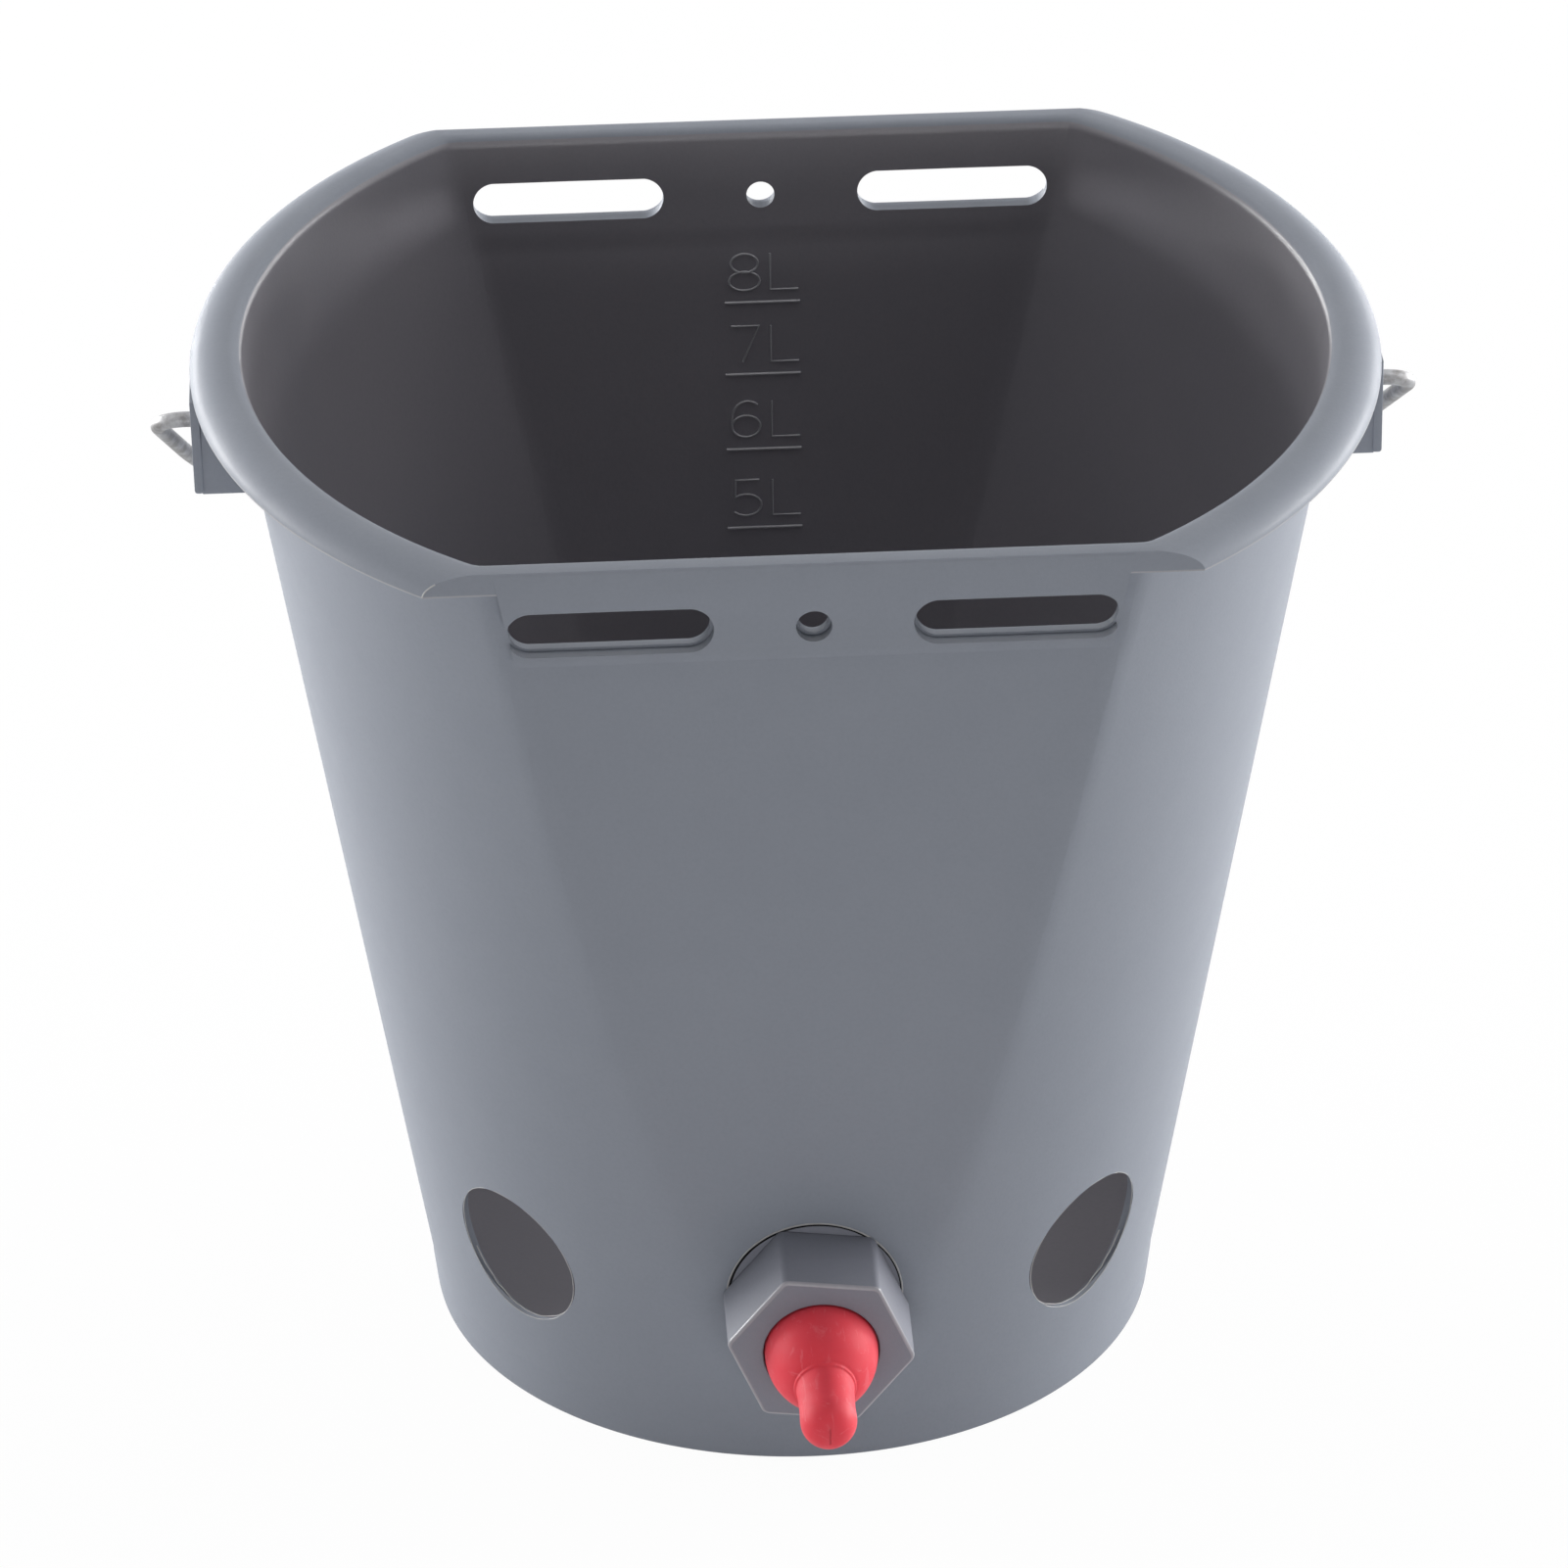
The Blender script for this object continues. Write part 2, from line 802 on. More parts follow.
@dataclass
class BucketMoulding:
    """The bucket's one moulding: wall, rim, foot, pads, ears, holes and litre marks."""

    form: Form = field(default_factory=Form)
    # Mesh: columns and rows, the soft bend beside the flat faces, and the reach of free points
    columns: int = 320
    wall_rows: int = 50
    burr_steps: int = 120
    crease: float = 1.6
    free_reach: float = 60.0
    # Rim
    rim_radius: float = 151.5
    roll: float = 6.5
    roll_wall: float = 2.2
    edge: float = 3.5
    # Floor and foot
    floor: float = 22.5
    floor_wall: float = 3.0
    floor_edge: float = 5.0
    foot: float = 16.0
    foot_radius: float = 94.2
    foot_step: float = 0.15
    foot_top: float = 12.2
    foot_edge: float = 0.7
    foot_hollow: float = 91.0
    # Slotted pads
    pad: float = 2.806
    pad_half: tuple[float, float] = (79.2, 74.0)
    pad_low: float = 252.8
    slot_height: float = 262.0
    slot_pitch: float = 101.0
    slot: tuple[float, float] = (50.0, 11.4)
    pad_cut: float = 0.8
    screw_hole: float = 7.4
    # Ears; ear_out is how far the plate's top and foot stand out
    ear_out: dict[Side, tuple[float, float]] = field(
        default_factory=lambda: {Side.LEFT: (151.85, 151.2), Side.RIGHT: (151.4, 151.35)}
    )
    ear_half: float = 14.0
    ear_low: float = 247.5
    ear_tuck: float = 0.8
    ear_wall: float = 2.3
    ear_step: float = 0.45
    ear_hole: float = 5.0
    # Step in the flat faces
    jog: float = 0.45
    jog_heights: tuple[float, float] = (247.8, 252.4)
    # Teat holes
    valve_hole: float = 45.0
    side_hole: float = 40.0
    side_height: float = 48.8
    side_edge: float = 1.35
    side_turns: tuple[float, float] = (-48.5, 45.5)
    # Litre marks, from 1 to 8
    litre_heights: tuple[float, ...] = (56.006, 86.387, 114.368, 140.417, 164.865, 187.953, 209.869, 230.762)

    def build(self) -> Piece:
        """Makes the whole moulding as one piece.

        Returns:
            The moulding, ready to hand over.
        """
        shell = self.shell()
        paint(shell, SHELL_PLASTIC, INNER_PLASTIC, EDGE_PLASTIC)
        self.open_shell(shell)
        smooth(shell, 34)
        outer = [self.slotted_pad(side) for side in (Side.FRONT, Side.REAR)]
        for side in (Side.LEFT, Side.RIGHT):
            outer.extend(self.ear(side))
        burrs, marks = self.burrs(), self.litre_marks()
        for pieces, finishes in (
            (outer, (SHELL_PLASTIC, EDGE_PLASTIC)),
            (burrs, (CUT_EDGE,)),
            (marks, (MARK_PLASTIC,)),
        ):
            for piece in pieces:
                paint(piece, *finishes)
        return join("bucket_moulding", [shell, *outer, *burrs, *marks])

    def section(self) -> list[tuple[float, float, float]]:
        """Draws half the bucket's section, from the middle of the floor round to its underside.

        Returns:
            Points as (radius, height, reach), where reach is how far outside the inner flat face
            the surface stays where the flat faces press it in.
        """
        form = self.form
        free = self.free_reach
        outer, rim = form.flat_level, form.flat_level + self.pad
        lip = form.height - self.roll
        points: list[tuple[float, float, float]] = [(x, self.floor, free) for x in (0, 45, 75)]
        # Floor edge
        bend, lean = self.floor_edge, form.cone_lean
        corner_z = self.floor + bend
        corner_x = form.radius(corner_z) - form.wall_level - bend / cos(lean)
        points += [(x, z, 0) for x, z in arc(corner_x, corner_z, bend, bend, -90, -degrees(lean), 6)]
        # Inside of the wall
        for z in self.rows(points[-1][1], form.height - self.edge):
            points.append((form.radius(z) - form.wall_level, z, -self.step_in(z)))
        # Inner edge of the rim
        edge_x = self.edge_x
        for x, z in arc(edge_x, form.height - self.edge, self.edge, self.edge, 180, 90, 7)[1:]:
            points.append((x, z, -self.jog + (self.jog + 1.7) * (x - edge_x + self.edge) / self.edge))
        # Roll, which falls away from the inner edge in a flat curve
        for x, z in (*self.fall(90, 5.625, 15), *self.fall(2.8, 0, 1)):
            points.append((x, z, min(rim, 1.9 + (rim - 1.9) * (x - self.crest + 0.2) / 2.6)))
        # Lip and hollow
        inner = self.roll - self.roll_wall
        roll_x = self.rim_radius - self.roll
        points.append((self.rim_radius - 0.12, lip - 0.22, rim - 0.1))
        points.append((self.rim_radius - 0.5, lip - 0.3, rim - 0.4))
        points.append((roll_x + inner + 0.35, lip - 0.3, outer + 0.3))
        points += [(x, z, outer + 0.02) for x, z in arc(roll_x, lip, inner, inner, 0, 90, 8)]
        root = lip + inner
        points.append((form.radius(root) + 1.2, root, outer + 0.02))
        points.append((form.radius(root) + 0.35, root - 0.35, outer + 0.01))
        # Outside of the wall
        for z in reversed(self.rows(self.foot + 0.5, root - 1.2)):
            points.append((form.radius(z), z, outer - self.step_in(z)))
        # Foot, which swells out of the wall in a soft curve
        top_radius = form.radius(self.foot_top) + self.foot_step
        for z in (16.0, 14.0, 12.8, 12.2, 11.7, 11.2, 10.7, 10.2, 9.8, 9.0, 6.0, 3.0, 1.4):
            skirt = self.foot_radius + min(z / self.foot_top, 1.0) * (top_radius - self.foot_radius)
            swell = ease((self.foot_top - z) / 2.4)
            points.append((form.radius(z) + swell * (skirt - form.radius(z)), z, free))
        edge, hollow, under = self.foot_edge, self.foot_hollow, self.floor - self.floor_wall
        underside = arc(self.foot_radius - edge, edge, edge, -edge, 0, 90, 5)[1:]
        underside += [(hollow + 0.6, 0), (hollow, 0.6), (hollow, under - 1.5), (hollow - 0.5, under - 0.5)]
        underside += [(hollow - 1.5, under), (60, under), (0, under)]
        return points + [(x, z, free) for x, z in underside]

    @property
    def edge_x(self) -> float:
        """The radius at which the rim's rounded inner edge has its middle."""
        form = self.form
        return form.radius(form.height - self.edge) - form.wall_level + self.edge

    @property
    def crest(self) -> float:
        """The radius at which the roll starts to fall away."""
        return self.edge_x + 0.3

    def fall(self, start: float, end: float, steps: int) -> Pairs:
        """Points as (radius, height) along the roll's outer surface, between two angles."""
        return arc(
            self.crest, self.form.height - self.roll, self.rim_radius - self.crest, self.roll, start, end, steps
        )

    def rows(self, low: float, high: float) -> list[float]:
        """Heights at which the wall has a row of vertices, closer together round the step.

        Args:
            low: Where the rows start; there is no row here.
            high: The last row's height.

        Returns:
            The heights in rising order.
        """
        heights = [low + (high - low) * k / self.wall_rows for k in range(1, self.wall_rows + 1)]
        step = [self.jog_heights[0] - 1.2, *self.jog_heights, self.jog_heights[1] + 1.2]
        kept = [z for z in heights if not step[0] - 1.5 < z < step[-1] + 1.5]
        return sorted([*kept, *step, sum(self.jog_heights) / 2])

    def step_in(self, z: float) -> float:
        """How far the upper part of a flat face steps in towards the middle at a height."""
        low, high = self.jog_heights
        return self.jog * ease((z - low) / (high - low))

    def shell(self) -> Piece:
        """Spins the section, splits it along the flat faces' planes and presses it flat there.

        Returns:
            The wall, rim, floor and foot as one closed body.
        """
        form = self.form
        section = self.section()
        shell = spin_profile("shell", section, self.columns, [p[2] for p in section])
        for sign in (-1, 1):
            for reach in (0.0, form.flat_level, form.flat_level + self.pad):
                with edit_mode(shell):
                    bpy.ops.mesh.bisect(
                        plane_co=(0, sign * (form.flat_base - form.flat_level + reach) * MM, 0),
                        plane_no=(0, sign * cos(form.flat_lean), -sin(form.flat_lean)),
                        threshold=1e-6,
                    )
        soft = self.crease
        marks = shell.data.attributes["mark"]
        for vertex, mark in zip(shell.data.vertices, marks.data, strict=True):
            limit = form.flat(vertex.co.z / MM) - form.flat_level + mark.value
            away = abs(vertex.co.y) / MM
            lap = max(soft - abs(away - limit), 0.0) if mark.value < form.flat_level + 0.005 else 0.0
            pressed = min(away, limit) - lap * lap / (4 * soft)
            vertex.co.y = copysign(pressed * MM, vertex.co.y)
        with edit_mode(shell):
            bpy.ops.mesh.dissolve_degenerate(threshold=2e-6)
        shell.data.attributes.remove(shell.data.attributes["mark"])
        self.number_faces(shell)
        return shell

    def number_faces(self, shell: Piece) -> None:
        """Gives the inside of the wall material number 1 and the lip's outer edge number 2.

        Args:
            shell: The shell.
        """
        form = self.form
        lip = form.height - self.roll
        for face in shell.data.polygons:
            x, y, z = face.center / MM
            within = hypot(x, y) < form.radius(z) - form.wall_level / 2
            outwards = face.normal.x * x + face.normal.y * y > 0
            if within and abs(y) < form.flat(z) - form.flat_level / 2 and self.floor - 1 < z < form.height - 1.2:
                face.material_index = 1
            elif lip - 0.31 < z < lip + 0.31 and outwards:
                face.material_index = 2

    def open_shell(self, shell: Piece) -> None:
        """Cuts the slots, screw holes and teat holes through the wall.

        Args:
            shell: The shell.
        """
        reach = self.rim_radius
        self.cut_flat(shell, 0.0, -reach, reach)
        place, axis = self.form.valve_place, self.form.valve_axis
        cut(shell, rod("cutter", self.valve_hole / 2, place - 12 * axis, place + 12 * axis, 128))
        for turn in self.side_turns:
            place, axis = self.side_axis(turn)
            bore = self.side_hole / 2
            section = [(0, -12), (bore + 1.3, -12), (bore + 1.3, -2.9), (bore, -self.side_edge), (bore, 12), (0, 12)]
            cutter = spin_profile("cutter", section)
            cutter.data.transform(Matrix.Translation(place * MM) @ axis.to_track_quat("Z", "Y").to_matrix().to_4x4())
            cut(shell, cutter)

    def cut_flat(self, piece: Piece, grow: float, start: float, end: float) -> None:
        """Cuts two slots and the screw hole between them through a piece.

        Args:
            piece: The piece to cut.
            grow: How far the cuts go past the edges of the openings, in millimetres.
            start: Where the cuts start on Y, in millimetres.
            end: Where they end on Y, in millimetres.
        """
        for place in (-1, 1):
            cut(piece, self.slot_bar(place, grow, start, end))
        z = self.slot_height
        cut(piece, rod("cutter", self.screw_hole / 2 + grow, (0, start, z), (0, end, z)))

    def side_axis(self, turn: float) -> tuple[Vector, Vector]:
        """The middle and the outward axis of an open teat hole, at a turn from the front.

        Args:
            turn: The hole's turn about +Z from the front, in degrees.

        Returns:
            The middle on the outer surface, in millimetres, and the axis.
        """
        spin = Matrix.Rotation(radians(turn), 3, "Z")
        lean = self.form.cone_lean
        place = Vector((0, -self.form.radius(self.side_height), self.side_height))
        return spin @ place, spin @ Vector((0, -cos(lean), -sin(lean)))

    def slot_bar(self, place: int, grow: float, start: float, end: float) -> Piece:
        """A bar along Y with a slot's section, to cut with.

        Args:
            place: -1 for the slot on the left or 1 for the one on the right.
            grow: How far the bar goes past the slot's edges, in millimetres.
            start: Where it starts on Y, in millimetres.
            end: Where it ends on Y, in millimetres.

        Returns:
            The bar.
        """
        length, width = self.slot
        bar = rod("cutter", width / 2 + grow, (0, start, self.slot_height), (0, end, self.slot_height))
        half = (length - width) / 2
        for sign in (-1, 1):
            select_vertices(bar, lambda co, sign=sign: co.x * sign > 1e-5)
            with edit_mode(bar, select=False):
                bpy.ops.transform.translate(value=(sign * half * MM, 0, 0))
        bar.data.transform(Matrix.Translation((place * self.slot_pitch / 2 * MM, 0, 0)))
        return bar

    def slotted_pad(self, side: Side) -> Piece:
        """The thick plate round the slots of one flat face, with rounded edges.

        Args:
            side: FRONT or REAR.

        Returns:
            The plate.
        """
        form = self.form
        heights = (self.pad_low, form.height - 1.1)
        corners = [
            form.flat_point(x * self.pad_half[1 - z], heights[z], self.pad + 0.04, side)
            for x, z in ((-1, 0), (1, 0), (1, 1), (-1, 1))
        ]
        plate = outline_plate("pad", corners, (0, -side.sign * (self.pad + 0.6), 0))
        middle = form.flat(self.slot_height)
        self.cut_flat(plate, self.pad_cut, side.sign * (middle - 8), side.sign * (middle + 12))
        round_edges(plate, 0.35, 3, number=1)
        smooth(plate, 40)
        return plate

    def ear(self, side: Side) -> list[Piece]:
        """One ear: an outer plate with the wire hole, and two side walls up into the rim.

        Args:
            side: LEFT or RIGHT.

        Returns:
            The outer plate and the two side walls.
        """
        form = self.form
        z0, z1 = self.ear_low, form.height - self.roll - 0.1
        high, low = self.ear_out[side]
        outline = [
            (x - (self.ear_tuck if y == side.sign else 0.0), y * self.ear_half, z)
            for x, y, z in ((low, -1, z0), (low, 1, z0), (high, 1, z1), (high, -1, z1))
        ]
        plate = outline_plate("ear_plate", outline, (-self.ear_wall, 0, 0))
        cut(plate, rod("cutter", self.ear_hole / 2, (140, 0, form.hinge), (160, 0, form.hinge)))
        bevel_edges(
            plate,
            lambda a, b: (
                abs(a.z - b.z) < 1e-6 and abs(a.y - b.y) < 1e-6 and a.z < (z0 + 1) * MM and abs(a.x - b.x) > 1e-3
            ),
            1.3,
        )
        round_edges(plate, 0.3, 2, number=1)
        smooth(plate, 40)
        parts = [plate]
        wall_x = low - self.ear_tuck - self.ear_wall / 2
        outline = [(form.radius(z0) - 1.3, z0), (wall_x, z0), (wall_x, z1)]
        outline += [(148.6, 278.2), (146, 279.4), (form.radius(form.height) - 1.6, 279.9)]
        for sign in (-1, 1):
            y = sign * (self.ear_half - self.ear_step)
            web = outline_plate("ear_wall", [(x, y, z) for x, z in outline], (0, -sign * self.ear_wall, 0))
            round_edges(web, 0.25, 2)
            smooth(web, 40)
            parts.append(web)
        if side is Side.LEFT:
            for part in parts:
                part.data.transform(Matrix.Rotation(pi, 4, "Z"))
        return parts

    def burrs(self) -> list[Piece]:
        """The thin uneven beads round the teat holes, and two fine marks on the rim.

        Returns:
            The beads.
        """
        form = self.form
        count = self.burr_steps
        beads = []
        for turn in self.side_turns:
            place, axis = self.side_axis(turn)
            across = axis.cross(Vector((0, 0, 1))).normalized()
            up = across.cross(axis)
            for depth, grow, shake, bead, first, last in (
                (0.05, 0.04, 0.05, 0.11, 0, count),
                (self.side_edge - 0.1, -0.02, 0.22, 0.16, 68, 112),
            ):
                points = []
                for k in range(first, last + 1):
                    angle = tau * (k % count) / count
                    wobble = shake * (sin(5 * angle + turn) + sin(13 * angle) * cos(3 * angle))
                    ring = place + (self.side_hole / 2 + grow) * (cos(angle) * across + sin(angle) * up)
                    points.append(self.onto_cone(ring, axis) - (depth + abs(wobble)) * axis)
                beads.append(stroke("side_burr", points, bead, 6))
        centre = form.valve_place
        across, up = Vector((1, 0, 0)), Vector((0, -sin(form.flat_lean), cos(form.flat_lean)))
        points = []
        for k in range(count + 1):
            angle = tau * (k % count) / count
            ring = centre + (self.valve_hole / 2 + 0.1) * (cos(angle) * across + sin(angle) * up)
            if hypot(ring.x, ring.y) > form.radius(ring.z):
                ring = self.onto_cone(ring, form.valve_axis)
            points.append(ring)
        beads.append(stroke("valve_burr", points, 0.24, 6))
        beads.append(stroke("lip_scratch", self.lip_corner(), 0.2, 6))
        edge, height = form.radius(form.height) + 1.05, form.height - 0.42
        points = [(x, y, height) for x, y in arc(0, 0, edge, edge, 180, 163, 24)]
        beads.append(stroke("witness_line", points, 0.16, 6))
        for bead in beads:
            smooth(bead, 60)
        return beads

    def lip_corner(self) -> list[tuple[float, float, float]]:
        """The corner where the roll meets the front flat face on the left, from the lip upwards.

        Returns:
            Places in millimetres.
        """
        points = []
        for radius, z in self.fall(2, 36, 8):
            y = self.form.flat(z) + self.pad
            points.append((-sqrt(radius * radius - y * y), -y, z))
        return points

    def onto_cone(self, place: Vector, axis: Vector) -> Vector:
        """Moves a place along an axis until it lies on the round wall's outside.

        Args:
            place: The place, within 12 mm of the wall.
            axis: An axis that points out of the bucket.

        Returns:
            The place on the wall.
        """
        low, high = -12.0, 12.0
        for _ in range(40):
            middle = (low + high) / 2
            point = place + middle * axis
            if hypot(point.x, point.y) < self.form.radius(point.z):
                low = middle
            else:
                high = middle
        return place + low * axis

    def litre_marks(self) -> list[Piece]:
        """The raised lines inside the rear wall, each with its number and an L above it.

        Returns:
            One mesh for each mark.
        """
        form = self.form
        parts = []
        lean = Matrix.Rotation(radians(90), 4, "X")
        for litres, z in enumerate(self.litre_heights, 1):
            glyphs = [stroke("mark", [(-9.8, 0, 0), (10.1, 0, 0)], 0.42)]
            for line in GLYPHS[str(litres)]:
                glyphs.append(stroke("digit", [(-8.6 + 8.2 * u, 3.6 + 10.5 * v, 0) for u, v in line], 0.3))
            for line in GLYPHS["L"]:
                glyphs.append(stroke("letter", [(1.9 + 7.8 * u, 3.6 + 10.5 * v, 0) for u, v in line], 0.3))
            label = join("litre_mark", glyphs)
            inner = form.flat(z) - form.flat_level
            place = Matrix.Translation((0, inner * MM, z * MM))
            tilt = Matrix.Rotation(-form.flat_lean, 4, "X")
            label.data.transform(place @ tilt @ lean)
            smooth(label, 60)
            parts.append(label)
        return parts


GLYPHS: dict[str, list[list[tuple[float, float]]]] = {
    "1": [[(0.25, 0.78), (0.55, 1.0), (0.55, 0.0)]],
    "2": [[*arc(0.5, 0.72, 0.45, 0.28, 160, -35), (0.05, 0.0), (0.95, 0.0)]],
    "3": [arc(0.45, 0.74, 0.42, 0.26, 150, -90), arc(0.45, 0.26, 0.48, 0.27, 90, -150)],
    "4": [[(0.72, 0.0), (0.72, 1.0), (0.0, 0.3), (1.0, 0.3)]],
    "5": [[(0.9, 1.0), (0.14, 1.0), (0.1, 0.52), *arc(0.46, 0.3, 0.5, 0.3, 135, -140)]],
    "6": [[*arc(0.55, 0.55, 0.5, 0.45, 50, 180, 10), *arc(0.5, 0.3, 0.46, 0.3, 175, 540, 22)]],
    "7": [[(0.05, 1.0), (0.95, 1.0), (0.42, 0.0)]],
    "8": [arc(0.5, 0.74, 0.44, 0.26, 0, 360, 22), arc(0.5, 0.25, 0.5, 0.26, 0, 360, 22)],
    "L": [[(0.05, 1.0), (0.05, 0.0), (1.0, 0.0)]],
}


@dataclass
class WireBail:
    """The bail: one length of wire, bent into each ear, at rest on the rear wall."""

    form: Form = field(default_factory=Form)
    wire: float = 2.0
    arch_from: float = 12.9078
    straight: float = 27.3322
    bend: float = 7.0
    pin: float = 152.9
    tail: float = 143.3
    tail_bend: float = 4.0
    tail_length: float = 8.0
    lean: float = 48.0997
    sides: int = 32

    def build(self) -> Piece:
        """Bends one half from its end to the middle of the arch, mirrors it and hangs it up.

        Returns:
            The bail at rest.
        """
        clear_selection()
        bpy.ops.mesh.primitive_circle_add(vertices=self.sides, radius=self.wire * MM, fill_type="NGON")
        piece = bpy.context.object
        piece.name = "wire_bail"
        turn = Matrix.Rotation(radians(90), 4, "X")
        piece.data.transform(Matrix.Translation((self.tail * MM, self.tail_length * MM, 0)) @ turn)
        a = radians(self.arch_from)
        with edit_mode(piece, "FACE"):
            self.reach(0, self.tail_bend - self.tail_length, 2)
            self.turn_round(self.tail + self.tail_bend, self.tail_bend, pi / 2, 10)
            self.reach(self.pin - self.tail - self.tail_bend, 0, 2)
            self.turn_round(self.pin, self.bend, pi / 2 + a, 20)
            self.reach(-self.straight * sin(a), self.straight * cos(a), 8)
            self.turn_round(0, 0, pi / 2 - a, 60)
            bpy.ops.mesh.delete(type="FACE")
        apply_modifier(piece, "MIRROR", use_axis=(True, False, False), use_mirror_merge=True, merge_threshold=2e-5)
        with edit_mode(piece):
            bpy.ops.mesh.select_all(action="DESELECT")
            bpy.ops.mesh.select_non_manifold(extend=False)
            bpy.ops.mesh.edge_face_add()
        mend(piece, 2e-6)
        end_y = self.tail_length * MM
        bevel_edges(
            piece, lambda p, q: abs(p.y - end_y) < 2e-6 and abs(q.y - end_y) < 2e-6 and abs(p.x) < 0.146, 0.4, 2
        )
        lean = Matrix.Rotation(radians(self.lean - 90), 4, "X")
        piece.data.transform(Matrix.Translation((0, 0, self.form.hinge * MM)) @ lean)
        smooth(piece, 40)
        paint(piece, BAIL_ZINC)
        return piece

    def reach(self, dx: float, dy: float, steps: int) -> None:
        """Draws the end of the wire out along a straight line."""
        for _ in range(steps):
            bpy.ops.mesh.extrude_region_move(TRANSFORM_OT_translate={"value": (dx * MM / steps, dy * MM / steps, 0)})

    def turn_round(self, x: float, y: float, angle: float, steps: int) -> None:
        """Draws the end of the wire round a bend."""
        bpy.ops.mesh.spin(steps=steps, angle=-angle, center=(x * MM, y * MM, 0), axis=(0, 0, 1))


@dataclass
class ValveFrame:
    """The valve's axis: it leaves the front flat face square and points slightly down."""

    form: Form = field(default_factory=Form)
    sag: float = 1.7
    shift: float = 0.4

    def seat(self, piece: Piece) -> None:
        """Moves a piece made along +Z, with +Y up, onto the valve's axis.

        Args:
            piece: The piece, with the wall's outside at its own height 0.
        """
        place = self.form.valve_place * MM
        turn = Matrix.Rotation(radians(90) + self.form.flat_lean, 4, "X")
        hang = Matrix.Translation((self.shift * MM, -self.sag * MM, 0))
        piece.data.transform(Matrix.Translation(place) @ turn @ hang)


@dataclass
class UnionNut:
    """The six-sided nut, with soft edges and a stepped bore."""

    frame: ValveFrame = field(default_factory=ValveFrame)
    across: float = 42.3
    back: float = 0.1
    front: float = 22.1
    lip: float = 3.0
    bore: float = 17.1
    mouth: float = 14.8
    turn: float = -7.4

    def build(self) -> Piece:
        """Makes the nut from a hexagon, rounds its edges and bores it.

        Returns:
            The nut on the valve's axis.
        """
        nut = hexagon("union_nut_body", self.across, self.back, self.front, self.turn + 30)
        paint(nut, NUT_PLASTIC, NUT_EDGE)
        top, low = (self.front - 0.01) * MM, (self.back + 0.01) * MM
        for width, number, wanted in (
            (1.3, 0, lambda a, b: abs(a.z - b.z) > 0.01),
            (0.85, 1, lambda a, b: a.z > top and b.z > top),
            (0.35, 0, lambda a, b: a.z < low and b.z < low),
        ):
            bevel_edges(nut, wanted, width, number=number)
        step = self.front - self.lip
        bore = [(0, -1), (self.bore + 0.9, -1), (self.bore + 0.5, self.back), (self.bore, self.back + 0.7)]
        bore += [(self.bore, step - 0.6), (self.bore - 0.5, step), (self.mouth, step)]
        bore += [(self.mouth, self.front - 0.45), (self.mouth + 0.1, self.front - 0.18)]
        bore += [(self.mouth + 0.32, self.front), (self.mouth + 1.2, self.front + 0.3), (0, self.front + 0.3)]
        cut(nut, spin_profile("cutter", bore))
        mend(nut)
        smooth(nut)
        self.frame.seat(nut)
        return nut


@dataclass
class RubberTeat:
    """The teat: a flange held by the nut, a round bulb, a collar and a blunt nipple."""

    frame: ValveFrame = field(default_factory=ValveFrame)
    back: float = 16.1
    flange: float = 2.9
    flange_radius: float = 16.8
    bulb: float = 14.5
    front: float = 22.1
    stretch: float = 1.22
    nipple: float = 7.25
    ring: float = 0.7
    tip: float = 58.1
    rubber: float = 2.0
    slit: float = 5.0

    def build(self) -> Piece:
        """Spins the teat's section and slits its tip.

        Returns:
            The teat on the valve's axis.
        """
        teat = spin_profile("rubber_teat", self.section())
        paint(teat, TEAT_RUBBER)
        z = (self.tip + 1.5) * MM
        clear_selection()
        bpy.ops.mesh.primitive_cube_add(size=MM, location=(0, 0, z))
        blade = bpy.context.object
        blade.name = "cutter"
        blade.data.transform(Matrix.Diagonal((0.16, self.slit, 6.5, 1)))
        cut(teat, blade)
        smooth(teat, 50)
        self.frame.seat(teat)
        return teat

    def section(self) -> Pairs:
        """Half the teat's section as (radius, distance along the axis) pairs.

        Returns:
            The outside from the flange to the tip, then the inside back again.
        """
        flange, top = self.flange_radius, self.back + self.flange
        collar = self.nipple + self.ring
        tip_z = self.tip - self.nipple
        stop = degrees(acos((collar + 0.35) / self.bulb))
        outer: Pairs = [(flange - 0.5, self.back), (flange, self.back + 0.5), (flange, top - 0.5)]
        outer += [(flange - 0.5, top), (self.bulb + 0.3, top), (self.bulb, top + 0.4), (self.bulb, self.front - 0.6)]
        outer += arc(0, self.front, self.bulb, self.stretch * self.bulb, 0, stop, 20)
        base = outer[-1][1]
        for dr, dz in ((0.12, 0.1), (0.0, 0.3), (0.0, 0.75), (-0.12, 1.0), (-0.4, 1.12), (-0.52, 1.3), (-0.58, 1.8)):
            outer.append((collar + dr, base + dz))
        for k in range(1, 13):
            share = k / 12
            waist = -0.12 * sin(pi * share**1.5) ** 2
            outer.append((self.nipple + waist, base + 2.2 + share * (tip_z - base - 2.2)))
        outer += arc(0, tip_z, self.nipple, self.nipple, 0, 90, 14)[1:-1]
        outer.append((0, self.tip))
        core = self.nipple - self.rubber
        inner: Pairs = [(0, self.tip - self.rubber), *arc(0, tip_z, core, core, 90, 0, 8)[1:]]
        inner += [(core, base + 1.0), (core + 0.8, base - 0.6)]
        hollow = self.bulb - self.rubber
        start = degrees(acos((core + 1.6) / hollow))
        inner += arc(0, self.front, hollow, self.stretch * hollow, start, 0, 8)
        inner += [(hollow, self.back + 0.6), (hollow + 0.6, self.back), (flange - 0.5, self.back)]
        return outer + inner


